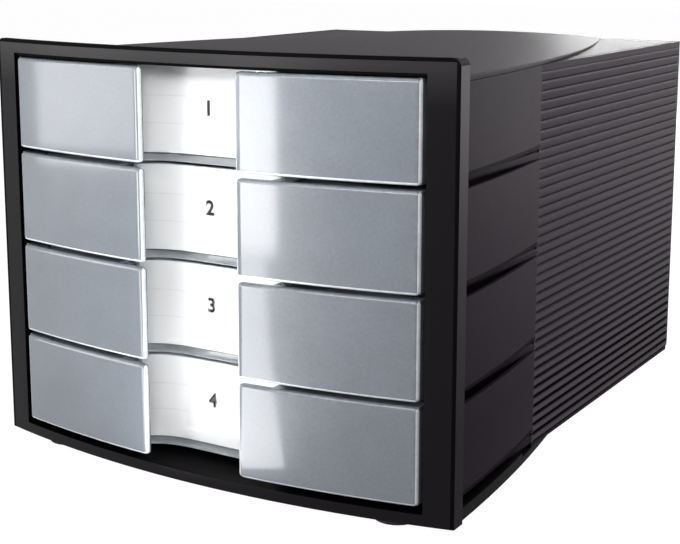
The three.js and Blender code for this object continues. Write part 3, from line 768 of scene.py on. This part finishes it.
class DRAWERUNIT_OT_sides(bpy.types.Operator):
    """Builds the two sides: ridges at the rear, flared panels with ribs at the front"""

    bl_idname = "drawerunit.sides"
    bl_label = "Sides"

    def execute(self, context):
        s = sizes()
        low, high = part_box("side_wall_right")
        pitch = level_low(1) - level_low(2)
        ridge = pitch / RIDGES_PER_LEVEL
        flare_rear_y = leaf_y(BODY_HALF)
        first = level_low(4) - RIB_DROP + (RIB_HEIGHT - ridge) / 2
        count = math.floor((high.z - first) / ridge)
        last = first + count * ridge
        tree = ridge_tree()
        shelf_front, shelf_rear = (corner.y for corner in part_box("shelf_1"))
        ridge_front = flare_rear_y - RIDGE_FRONT_LAP
        for side, sign in SIDES.items():
            bm = bmesh.new()
            self.core(bm, sign, low, high, first, last, flare_rear_y)
            for level in LEVELS:
                self.panel(bm, sign, level, pitch, high.z, flare_rear_y)
                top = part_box("top_deck")[1].z - DECK_THICKNESS
                if level < 4:
                    top = level_low(level) - RIB_DROP - LEDGE_GAP
                self.plank(bm, sign, WALL_INNER_X - LEDGE_WIDTH, WALL_INNER_X + LEDGE_ROOT,
                           shelf_front, shelf_rear, top - LEDGE, top)
            piece(f"side_{side}", bm, "housing", ["moulded_abs", "deep_abs"],
                  [f"side_wall_{side}"], bevel=0.35 * MM, segments=2)
            ridges = grown(f"side_{side}_ridges", tree, {
                "Side": sign, "Valley": BODY_HALF - s.ridge_depth, "Depth": s.ridge_depth,
                "Front": ridge_front, "Length": REAR_Y - RIDGE_REAR_GAP - ridge_front, "Low": first,
                "Pitch": ridge, "Fade": s.ridge_fade, "Ridges": count, "Steps": s.ridge_steps,
                "Material": finish("ridged_abs")})
            close_rims(ridges)
            settle(ridges, "housing", [f"side_wall_{side}"])
        return {"FINISHED"}

    def plank(self, bm, sign, x0, x1, y0, y1, z0, z1):
        a, b = sorted((sign * x0, sign * x1))
        block(bm, a, b, y0, y1, z0, z1)

    def core(self, bm, sign, low, high, first, last, flare_rear_y):
        plain = BODY_HALF - PLANK_INSET
        inner = WALL_INNER_X + WALL_CORE / 2
        front, rear, corner = flare_rear_y - RIDGE_FRONT_LAP, REAR_Y - WALL_CHAMFER, low.z + WALL_CHAMFER
        self.plank(bm, sign, inner, plain, front, REAR_Y - RIDGE_REAR_GAP, last, high.z)
        start = len(bm.faces)
        outline = [(HOUSING_FRONT_Y, low.z), (rear, low.z), (REAR_Y, corner), (REAR_Y, high.z),
                   (HOUSING_FRONT_Y, high.z)]
        loft(bm, [[(sign * x, y, z) for y, z in outline] for x in (WALL_INNER_X, WALL_INNER_X + WALL_CORE)])
        self.plank(bm, sign, inner, plain, front, rear, low.z, first)
        strip = [(rear, low.z), (rear + 0.01 * MM, low.z), (REAR_Y, corner), (REAR_Y, high.z), (rear, high.z)]
        loft(bm, [[(sign * x, y, z) for y, z in strip] for x in (inner, BODY_HALF - REAR_STRIP_INSET)])
        # The inner wall and the rear strip are painted shade black, for the dark wedges under the ribs and the
        # dark rear edge.
        paint_since(bm, start, 1)

    def panel(self, bm, sign, level, pitch, wall_top, flare_rear_y):
        inner = WALL_INNER_X + WALL_CORE / 2
        rib_low = level_low(level) - RIB_DROP
        panel_low = rib_low + RIB_HEIGHT + PANEL_LIFT
        panel_top = wall_top if level == 1 else rib_low + pitch
        ridge = pitch / RIDGES_PER_LEVEL
        crest_low = rib_low + (RIB_HEIGHT - ridge) / 2
        crest = [(BODY_HALF - ridge_drop(share), crest_low + share * ridge)
                 for share in steps(0, RIB_CREST_SHARE, RIB_CREST_STEPS)]
        outline = crest + [(inner, crest[-1][1]), (inner, crest_low)]
        loft(bm, [[(sign * x, y, z) for x, z in outline]
                  for y in (HOUSING_FRONT_Y, flare_rear_y + PANEL_LAP)])
        ys = steps(HOUSING_FRONT_Y, flare_rear_y, PANEL_STEPS)
        outer = [(sign * leaf_x(y), y) for y in ys]
        skin = outer + [(sign * max(leaf_x(y, FLARE_SKIN), inner), y) for y in reversed(ys)]
        prism(bm, skin, panel_low, panel_top)
        prism(bm, outer + [(sign * inner, y) for y in reversed(ys)], panel_low, panel_low + FLARE_FLOOR)


FOOT_SIDES = 48


class DRAWERUNIT_OT_feet(bpy.types.Operator):
    """Builds the four round rubber feet"""

    bl_idname = "drawerunit.feet"
    bl_label = "Feet"

    def execute(self, context):
        for node in ("foot_front_right", "foot_front_left", "foot_rear_right", "foot_rear_left"):
            low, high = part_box(node)
            centre = (low + high) / 2
            radius = (high.x - low.x) / 2
            profile = [
                (radius - 5 * MM, low.z + 0.6 * MM), (radius - 4 * MM, low.z), (radius - 1 * MM, low.z),
                (radius - 0.3 * MM, low.z + 0.3 * MM), (radius, low.z + 1 * MM), (radius, high.z)]
            angles = [2 * math.pi * i / FOOT_SIDES for i in range(FOOT_SIDES)]
            bm = bmesh.new()
            loft(bm, [[(centre.x + r * math.cos(a), centre.y + r * math.sin(a), z) for a in angles]
                      for r, z in profile])
            piece(f"{node}_pad", bm, "housing", ["foot_rubber"], [node])
        return {"FINISHED"}


WING_INNER_X = 30 * MM
WING_PROUD = 0.6 * MM
WING_WALL = 3 * MM
WING_ROOT_X = 50 * MM
WING_COLUMNS, WING_ROWS = 26, 8
EDGE_COLUMNS, EDGE_ROWS = 7, 6
# Shares of a rounded edge, from the rim inwards, at which its finish changes; the pale rim finish on the
# outermost shares is a painted highlight line
GRIP_RIM, OUTER_RIM, OUTER_EDGE, FLAT_EDGE = 0.3, 0.3, 0.9, 0.85
BOX_WALL = 2 * MM
BOX_INSET = 0.4 * MM
BOX_LAP = 0.5 * MM
BOX_STEPS = 12
LIP_HEIGHT = 4.3 * MM
LABEL_DROP = 2 * MM
RECESS_SETBACK = 2.3 * MM
RECESS_OVER_LIP = 0.3 * MM
RECESS_HEAD = 1.3 * MM
RECESS_STEPS = 28


def label_places(half, count):
    """Places across the label, closer together towards its ends."""
    return [half * math.copysign(abs(share) ** 0.6, share) for share in steps(-1, 1, count)]


def edge_stations(low, high, low_edge, high_edge, edge_count, middle_count):
    """Places from low to high, closer together within the rounded edge at each end."""
    turns = [math.radians(90 * i / edge_count) for i in range(edge_count)]
    first = [low + low_edge * (1 - math.cos(t)) for t in turns]
    last = [high - high_edge * (1 - math.cos(t)) for t in reversed(turns)]
    return first + steps(low + low_edge, high - high_edge, middle_count) + last


def wing(bm, sign, low, high, wing_half):
    """A bowed plate whose face falls back at its rim in a rounded edge."""
    s = sizes()
    xs = edge_stations(WING_INNER_X, wing_half, s.grip_edge, s.outer_edge, EDGE_COLUMNS, WING_COLUMNS)
    front, back = [], []
    for x in xs:
        tx = min(1.0, max(0.0, 1 - (x - WING_INNER_X) / s.grip_edge, 1 - (wing_half - x) / s.outer_edge))
        cut = s.wing_edge * (1 - math.sqrt(1 - tx ** 2))
        edge = s.wing_edge - cut + 1e-6
        column, behind = [], []
        for z in edge_stations(low + cut, high - cut, edge, edge, EDGE_ROWS, WING_ROWS):
            tz = max(0.0, 1 - (z - low) / s.wing_edge, 1 - (high - z) / s.wing_edge)
            t = min(1.0, math.hypot(tx, tz))
            drop = s.edge_drop * (1 - math.sqrt(max(0.0, 1 - t ** 2)))
            column.append(bm.verts.new((sign * x, bow_y(x, -WING_PROUD) + drop, z)))
            behind.append(bm.verts.new((sign * x, bow_y(x, WING_WALL - WING_PROUD), z)))
        front.append(column)
        back.append(behind)
    faces = bridge(bm, front, closed=False)
    bridge(bm, back, closed=False)
    rims = [(front[i], back[i]) for i in (0, -1)]
    rims += [([c[i] for c in front], [c[i] for c in back]) for i in (0, -1)]
    for rim in rims:
        for face in bridge(bm, rim, closed=False):
            face.material_index = 2
    for face in faces:
        centre = face.calc_center_median()
        grip = (abs(centre.x) - WING_INNER_X) / s.grip_edge
        outer = (wing_half - abs(centre.x)) / s.outer_edge
        above, below = (high - centre.z) / s.wing_edge, (centre.z - low) / s.wing_edge
        # The pale rim finish on the grip edge, the lower edge and the outermost band is a painted highlight
        # line.
        if grip < GRIP_RIM or below < FLAT_EDGE:
            face.material_index = 1
        elif outer < OUTER_EDGE or above < FLAT_EDGE:
            face.material_index = 1 if outer < OUTER_RIM else 2


class DRAWERUNIT_OT_fronts(bpy.types.Operator):
    """Builds the frosted drawer fronts: two bowed wings joined by the wall behind the label"""

    bl_idname = "drawerunit.fronts"
    bl_label = "Drawer fronts"

    def execute(self, context):
        for level in LEVELS:
            node = f"drawer_{level}_front"
            low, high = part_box(node)
            bm = bmesh.new()
            for sign in SIDES.values():
                wing(bm, sign, low.z, high.z, high.x)
                self.box(bm, sign, low.z, high.z, high.x, high.y)
            self.recess(bm, low.z, high.z, high.y)
            piece(f"drawer_{level}_frosted_front", bm, f"drawer_{level}",
                  ["frosted_polystyrene", "polished_polystyrene", "wall_polystyrene"], [node])
        return {"FINISHED"}

    def box(self, bm, sign, low, high, wing_half, back_y):
        """Top and side walls that join a wing to the tray behind it."""
        start = len(bm.faces)
        xs = steps(WING_ROOT_X, wing_half - BOX_INSET, BOX_STEPS)
        near, far = xs[0], xs[-1]

        def walls(places, bottom, top):
            front = [(sign * x, bow_y(x, WING_WALL - WING_PROUD - BOX_LAP)) for x in places]
            prism(bm, front + [(sign * places[-1], back_y), (sign * places[0], back_y)], bottom, top)

        walls(xs, high - BOX_WALL, high - 0.02 * MM)
        for places in ((near, near + 2 * BOX_WALL), (far - BOX_WALL, far)):
            walls(places, low + BOX_INSET, high - BOX_WALL / 2 - BOX_INSET)
        paint_since(bm, start, 2)

    def recess(self, bm, low, high, back_y):
        """Curved wall behind the label, with its lower edge cut away over the lip."""
        face = [(x, label_y(x, RECESS_SETBACK)) for x in label_places(LABEL_HALF, RECESS_STEPS)]
        floor = low - LABEL_DROP + LIP_HEIGHT + RECESS_OVER_LIP
        outline = face + [(WING_ROOT_X, face[-1][1]), (WING_ROOT_X, back_y), (-WING_ROOT_X, back_y),
                          (-WING_ROOT_X, face[0][1])]
        start = len(bm.faces)
        prism(bm, outline, floor, high - RECESS_HEAD)
        paint_since(bm, start, 1)


COVER_CUT, COVER_WALL, COVER_LIP, COVER_EDGE = 0.7 * MM, 1.2 * MM, 3.2 * MM, 0.7 * MM
COVER_END = 0.01 * MM
CARD_CUT, CARD_BACK, CARD_THICKNESS, CARD_END = 0.9 * MM, 1.5 * MM, 0.5 * MM, 0.3 * MM
LABEL_STEPS = 40
NUMBER_X = -6 * MM
NUMBER_UP = 1 * MM
NUMBER_BACK = 1.45 * MM
NUMBER_SIZE = 11 * MM
PRINT_RAISE = 0.03 * MM
PRINT_BOLD = 0.035


def section_ring(points, x, near):
    return [(x, label_y(x, near) + setback, z) for setback, z in points]


class DRAWERUNIT_OT_labels(bpy.types.Operator):
    """Builds the label cards, their clear covers with a lip, and the plain numbers on the cards"""

    bl_idname = "drawerunit.labels"
    bl_label = "Labels"

    def execute(self, context):
        grips = grip_tree()
        for level in LEVELS:
            self.cover(level)
            self.card(level)
            self.number(level)
            self.grip(level, grips)
        return {"FINISHED"}

    def cover(self, level):
        low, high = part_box(f"drawer_{level}_label_cover")
        high.z -= COVER_CUT
        foot, head, lip_top = low.z, high.z, low.z + LIP_HEIGHT
        wall, lip, soft, bit = COVER_WALL, COVER_LIP, COVER_EDGE, COVER_EDGE * 0.3
        section = [
            (soft, foot), (lip - soft, foot), (lip - bit, foot + bit), (lip, foot + soft),
            (lip, lip_top - soft), (lip - bit, lip_top - bit), (lip - soft, lip_top), (wall, lip_top),
            (wall, head - soft), (wall - bit, head - bit), (wall - soft, head), (soft, head),
            (bit, head - bit), (0, head - soft), (0, foot + soft), (bit, foot + bit)]
        bm = bmesh.new()
        loft(bm, [section_ring(section, x, 0) for x in label_places(LABEL_HALF - COVER_END, LABEL_STEPS)])
        for face in bm.faces:
            up = face.calc_center_median().z - foot
            face.material_index = 0 if up > LIP_HEIGHT + soft else 1 if up < LIP_HEIGHT - 0.8 * soft else 2
        piece(f"drawer_{level}_clear_cover", bm, f"drawer_{level}",
              ["clear_polystyrene", "lip_polystyrene", "wall_polystyrene"],
              [f"drawer_{level}_label_cover"])

    def card(self, level):
        low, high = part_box(f"drawer_{level}_label_card")
        high.z -= CARD_CUT
        section = [(0, low.z), (CARD_THICKNESS, low.z), (CARD_THICKNESS, high.z), (0, high.z)]
        bm = bmesh.new()
        loft(bm, [section_ring(section, x, CARD_BACK)
                  for x in label_places(LABEL_HALF - CARD_END, LABEL_STEPS)])
        piece(f"drawer_{level}_card", bm, f"drawer_{level}", ["label_paper"],
              [f"drawer_{level}_label_card"])

    def number(self, level):
        """A plain number, cut as thin raised print on the card."""
        curve = bpy.data.curves.new(f"number_{level}", "FONT")
        curve.body = str(level)
        curve.size = 1.0
        curve.align_x = "CENTER"
        curve.align_y = "CENTER"
        curve.extrude = PRINT_RAISE / NUMBER_SIZE
        curve.offset = PRINT_BOLD
        text = bpy.data.objects.new(f"drawer_{level}_number", curve)
        bpy.context.scene.collection.objects.link(text)
        evaluated = text.evaluated_get(bpy.context.evaluated_depsgraph_get())
        mesh = bpy.data.meshes.new_from_object(evaluated)
        bpy.data.objects.remove(text)
        low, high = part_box(f"drawer_{level}_label_card")
        place = Matrix.Translation((NUMBER_X, label_y(0, NUMBER_BACK), (low.z + high.z) / 2 + NUMBER_UP))
        mesh.transform(place @ Matrix.Rotation(math.radians(90), 4, "X") @ Matrix.Scale(NUMBER_SIZE, 4))
        bm = bmesh.new()
        bm.from_mesh(mesh)
        bmesh.ops.remove_doubles(bm, verts=bm.verts, dist=0.001 * MM)
        piece(f"drawer_{level}_number", bm, f"drawer_{level}", ["printed_ink"])

    def grip(self, level, tree):
        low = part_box(f"drawer_{level}_label_cover")[0].z
        ribs = grown(f"drawer_{level}_grip", tree, {
            "Start": 4 * MM, "Pitch": 1.5 * MM, "Count": 14, "Width": 0.5 * MM,
            "Height": LIP_HEIGHT - 1.4 * MM, "Low": low + 0.7 * MM,
            "Face": corner_y() + LABEL_DEPTH - 0.12 * MM,
            "Material": finish("clear_polystyrene")})
        settle(ribs, f"drawer_{level}")


def grip_tree():
    """Geometry Nodes that stand small upright ribs side by side along a lip."""
    tree, given = group_tree(
        "Grip ribs", Int=("Count",), Material=("Material",),
        Float=("Start", "Pitch", "Width", "Height", "Face", "Low"))
    middle = add(tree, "ShaderNodeMath", {
        0: given["Height"], 1: 0.5, 2: given["Low"]}, operation="MULTIPLY_ADD").outputs[0]
    radius = add(tree, "ShaderNodeMath", {0: given["Width"], 1: 0.5}, operation="MULTIPLY").outputs[0]
    start = add(tree, "ShaderNodeCombineXYZ", {
        "X": given["Start"], "Y": given["Face"], "Z": middle}).outputs[0]
    offset = add(tree, "ShaderNodeCombineXYZ", {"X": given["Pitch"]}).outputs[0]
    row = add(tree, "GeometryNodeMeshLine", {
        "Count": given["Count"], "Start Location": start, "Offset": offset}).outputs["Mesh"]
    rib = add(tree, "GeometryNodeMeshCylinder", {
        "Vertices": 10, "Radius": radius, "Depth": given["Height"]}).outputs["Mesh"]
    ribs = add(tree, "GeometryNodeInstanceOnPoints", {"Points": row, "Instance": rib}).outputs["Instances"]
    return close_tree(tree, ribs, given["Material"])


class DRAWERUNIT_OT_trays(bpy.types.Operator):
    """Builds the trays and gives the shelves their finish"""

    bl_idname = "drawerunit.trays"
    bl_label = "Trays and shelves"

    def execute(self, context):
        for level in LEVELS:
            node = f"drawer_{level}_tray"
            piece(f"drawer_{level}_moulded_tray", cad_form(node), f"drawer_{level}",
                  ["tray_polystyrene"], [node], bevel=0.5 * MM, segments=3)
            # The shelves take the painted shade black of the inside.
            shelf = frame["nodes"][f"shelf_{level}"]
            shelf.data.materials.clear()
            shelf.data.materials.append(finish("deep_abs"))
        return {"FINISHED"}


# Stage

FLOOR_STRIP_TURN = math.radians(-27)
FLOOR_GLOW = 0.96


def area_light(name, power, size_x, size_y, place, target, turn=0.0):
    data = bpy.data.lights.new(name, "AREA")
    data.shape = "RECTANGLE"
    data.size = size_x
    data.size_y = size_y
    data.energy = power
    lamp = bpy.data.objects.new(name, data)
    lamp.location = place
    lamp.visible_camera = False
    aim = (Vector(target) - Vector(place)).to_track_quat("-Z", "Y")
    lamp.rotation_euler = (Matrix.Rotation(turn, 4, "Z") @ aim.to_matrix().to_4x4()).to_euler()
    bpy.context.scene.collection.objects.link(lamp)


def seen_by_eye(tree):
    """1 for rays that show the background itself, in the camera, in gloss or through clear plastic."""
    path = add(tree, "ShaderNodeLightPath").outputs
    seen = add(tree, "ShaderNodeMath", {
        0: path["Is Camera Ray"], 1: path["Is Glossy Ray"]}, operation="MAXIMUM").outputs[0]
    return add(tree, "ShaderNodeMath", {
        0: seen, 1: path["Is Transmission Ray"]}, operation="MAXIMUM").outputs[0]


class DRAWERUNIT_OT_stage(bpy.types.Operator):
    """Sets up the pale floor, the studio light, the world and the camera"""

    bl_idname = "drawerunit.stage"
    bl_label = "Stage"

    def execute(self, context):
        scene = context.scene
        stage = scene.drawer_unit_stage
        self.floor(stage)
        self.world(scene, stage)
        area_light("key_above", stage.key_power, 1.4, 1.2, (-0.3, -0.9, 1.7), (0, 0, 0.1))
        area_light("fill_front", stage.fill_power, 0.9, 0.9, (1.1, -1.5, 0.9), (0, -0.17, 0.15))
        area_light("left_front", stage.left_power, 0.5, 0.9, (-0.98, -0.86, 0.46), (0, -0.17, 0.46))
        area_light("strip_front", stage.strip_power, 0.13, 0.2, (-0.245, -0.7, 0.104), (0.02, -0.17, 0.104))
        area_light("floor_strip", stage.floor_power, 0.074, 0.525, (-0.1138, -0.4464, 0.004),
                   (-0.1138, -0.4464, 1), FLOOR_STRIP_TURN)
        area_light("bar_front", stage.bar_power, 0.3, 0.03, (0.06, -0.33, 0.278), (0.02, -0.17, 0.15))
        area_light("side_near", stage.side_power, 0.5, 0.08, (0.36, 0.1, 0.3), (0.14, 0.1, 0.1))
        area_light("right_rear", stage.right_power, 0.45, 0.35, (0.62, 1.1, 0.18), (0.14, 0, 0.18))
        area_light("left_rear", stage.rear_power, 0.3, 0.2, (-0.43, 1.74, 0.34), (0.12, 0.12, 0.23))
        area_light("high_rear", stage.high_power, 0.6, 0.25, (0.3, 1.6, 0.75), (0.14, -0.1, 0.23))
        self.camera(scene)
        scene.view_settings.view_transform = "Standard"
        return {"FINISHED"}

    def floor(self, stage):
        shader = grained("stage_floor", stage.floor, 0.01, 400 * MM, 100 * MM, (0.85, 0.95), 0.01 * MM, {
            "Specular IOR Level": 0.0, "Emission Color": stage.backdrop})
        tree = shader.id_data
        glow = add(tree, "ShaderNodeMath", {
            0: seen_by_eye(tree), 1: FLOOR_GLOW}, operation="MULTIPLY").outputs[0]
        tree.links.new(glow, shader.inputs["Emission Strength"])
        half = stage.floor_size / 2
        mesh = bpy.data.meshes.new("stage_floor")
        corners = [(-half, -half, 0), (half, -half, 0), (half, half, 0), (-half, half, 0)]
        mesh.from_pydata(corners, [], [(0, 1, 2, 3)])
        mesh.materials.append(bpy.data.materials["stage_floor"])
        floor = bpy.data.objects.new("stage_floor", mesh)
        bpy.context.scene.collection.objects.link(floor)

    def world(self, scene, stage):
        world = bpy.data.worlds.new("stage_world")
        world.use_nodes = True
        tree = world.node_tree
        tree.nodes.clear()
        strength = add(tree, "ShaderNodeMapRange", {
            "Value": seen_by_eye(tree), "To Min": stage.world_light, "To Max": 1.0}).outputs["Result"]
        light = add(tree, "ShaderNodeBackground", {"Color": stage.backdrop, "Strength": strength})
        add(tree, "ShaderNodeOutputWorld", {"Surface": light.outputs[0]})
        scene.world = world

    def camera(self, scene):
        """The photograph's viewing angle: from the right, a little above the unit."""
        data = bpy.data.cameras.new("camera")
        data.sensor_width = 36
        data.lens = 74.053
        data.shift_x = 0.0097
        data.shift_y = -0.1
        eye = bpy.data.objects.new("camera", data)
        eye.location = (0.43647, -0.74609, 0.2836)
        eye.rotation_euler = (math.radians(90 - 10.263), 0, math.radians(31.742))
        scene.collection.objects.link(eye)
        scene.camera = eye


class DRAWERUNIT_PT_panel(bpy.types.Panel):
    """Lists the pieces of the drawer unit and its stage"""

    bl_idname = "DRAWERUNIT_PT_panel"
    bl_label = "Drawer Unit"
    bl_space_type = "VIEW_3D"
    bl_region_type = "UI"
    bl_category = "Drawer Unit"

    def draw(self, context):
        column = self.layout.column(align=True)
        for operator in OPERATORS:
            column.operator(operator.bl_idname)
        for name in ("drawer_unit_sizes", "drawer_unit_colours", "drawer_unit_stage"):
            group = getattr(context.scene, name)
            box = self.layout.box()
            for key in group.__annotations__:
                box.prop(group, key)


GROUPS = {
    "drawer_unit_sizes": DrawerUnitSizes,
    "drawer_unit_colours": DrawerUnitColours,
    "drawer_unit_stage": DrawerUnitStage,
}
OPERATORS = (
    DRAWERUNIT_OT_frame,
    DRAWERUNIT_OT_top,
    DRAWERUNIT_OT_sides,
    DRAWERUNIT_OT_feet,
    DRAWERUNIT_OT_fronts,
    DRAWERUNIT_OT_labels,
    DRAWERUNIT_OT_trays,
    DRAWERUNIT_OT_stage,
)


def register():
    for name, group in GROUPS.items():
        bpy.utils.register_class(group)
        setattr(bpy.types.Scene, name, PointerProperty(type=group))
    for made in (*OPERATORS, DRAWERUNIT_PT_panel):
        bpy.utils.register_class(made)


def unregister():
    for made in reversed((*OPERATORS, DRAWERUNIT_PT_panel)):
        bpy.utils.unregister_class(made)
    for name, group in GROUPS.items():
        delattr(bpy.types.Scene, name)
        bpy.utils.unregister_class(group)


def main():
    register()
    bpy.ops.drawerunit.frame()
    bpy.ops.drawerunit.top()
    bpy.ops.drawerunit.sides()
    bpy.ops.drawerunit.feet()
    bpy.ops.drawerunit.fronts()
    bpy.ops.drawerunit.labels()
    bpy.ops.drawerunit.trays()
    bpy.ops.drawerunit.stage()


if __name__ == "__main__":
    main()
